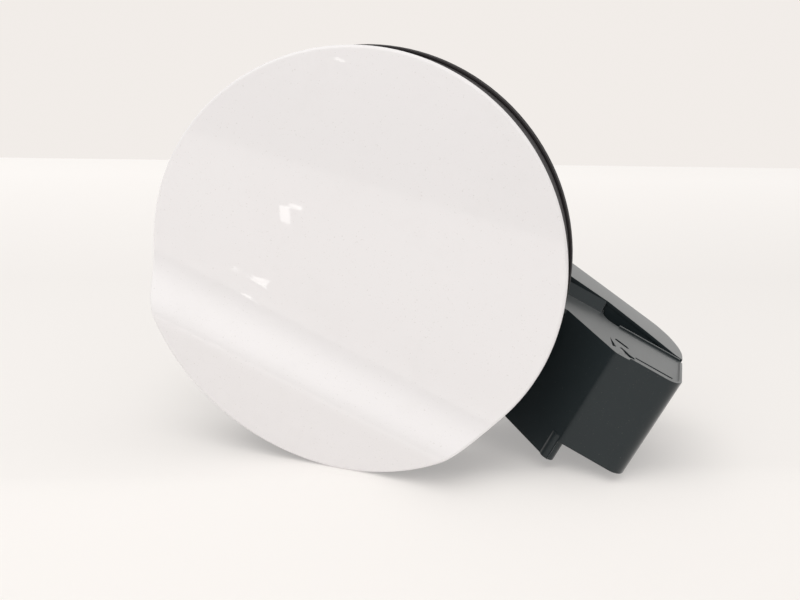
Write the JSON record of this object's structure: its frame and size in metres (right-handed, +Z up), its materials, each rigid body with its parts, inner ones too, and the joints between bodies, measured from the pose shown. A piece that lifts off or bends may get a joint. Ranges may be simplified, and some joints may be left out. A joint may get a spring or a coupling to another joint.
{
  "type": "car fuel door",
  "caption": "Round white fuel door with a low crease, a ribbed black liner and a curved arm that swings from a plastic hinge pocket.",
  "frame": {"origin": "centre of the two fixing holes, on the face of the hinge pocket's flange", "axes": "+X from the filler bowl into the hinge pocket, +Y into the car (the painted panel faces -Y), +Z up, along the hinge axis"},
  "size_m": [0.2215, 0.0936, 0.17],
  "materials": {
    "paint": "gloss",
    "foam": "matte",
    "liner_plastic": "satin",
    "black_plastic": "satin",
    "shell_plastic": "satin",
    "bush_plastic": "matte",
    "rubber": "matte",
    "zinc": "satin",
    "pin_steel": "satin",
    "spring_steel": "satin"
  },
  "bodies": {
    "housing": {"front_shell": "shell_plastic", "rear_shell": "shell_plastic", "shell_screws": "zinc", "mouth_gasket": "foam", "hinge_pin": "pin_steel", "pin_clip": "spring_steel", "wave_washer": "spring_steel", "torsion_spring": "spring_steel", "open_stop": "rubber"},
    "door": {"door_skin": "paint", "foam_pad": "foam", "door_liner": "liner_plastic", "rim_seal": "rubber", "edge_buffers": "rubber", "latch_tongue": "black_plastic", "tongue_screws": "zinc", "cap_holder": "black_plastic", "hinge_arm": "black_plastic", "arm_screws": "zinc", "upper_bush": "bush_plastic", "lower_bush": "bush_plastic"}
  },
  "joints": [
    {"name": "door_hinge", "type": "hinge", "parent": "housing", "child": "door", "pos_m": [0.042, -0.028, 0], "axis": [0, 0, 1], "range_deg": [0, 86]}
  ]
}
